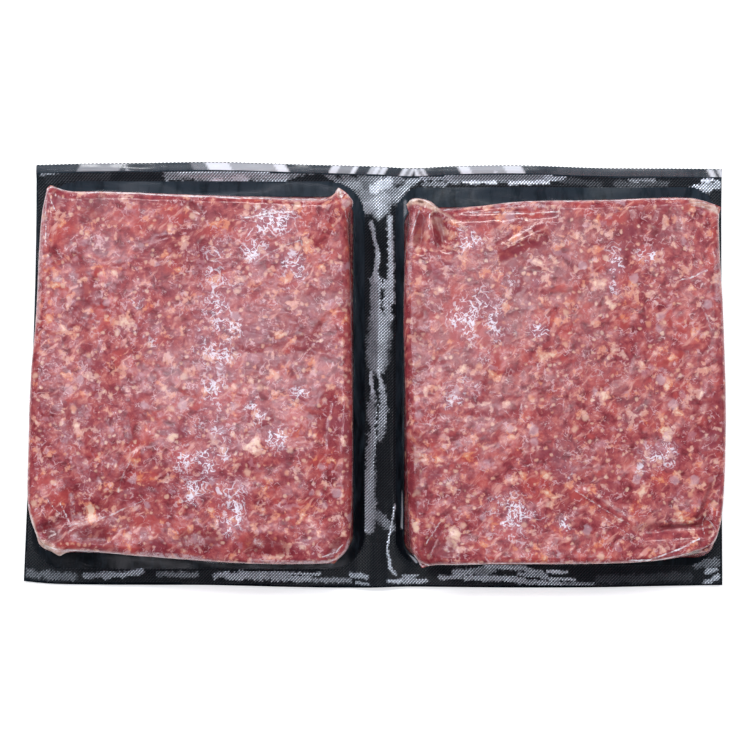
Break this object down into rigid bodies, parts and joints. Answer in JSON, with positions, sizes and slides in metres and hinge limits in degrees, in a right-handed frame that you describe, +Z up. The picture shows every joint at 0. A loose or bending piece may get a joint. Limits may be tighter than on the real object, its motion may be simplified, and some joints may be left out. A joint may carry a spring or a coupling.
{
  "type": "vacuum pack of frozen ground meat",
  "caption": "Flat vacuum pack of frozen ground meat: side-by-side bricks under tight clear film, sealed to one black backing film with an embossed border.",
  "frame": {"origin": "middle of the pack on the surface it lies on", "axes": "+X to the pack's right along its longest side, +Y to its far side, the one with the plain lip, +Z up out of the surface"},
  "size_m": [0.2652, 0.1614, 0.0303],
  "materials": {
    "backing_film": "black film, glossy, with an embossed diamond knurl where it is sealed",
    "film_on_meat": "clear glossy film sucked tight onto frozen ground meat, red with cream and orange fat"
  },
  "bodies": {
    "root": {"backing_film": "backing_film", "filled_pocket_left": "film_on_meat", "filled_pocket_right": "film_on_meat"}
  },
  "joints": []
}
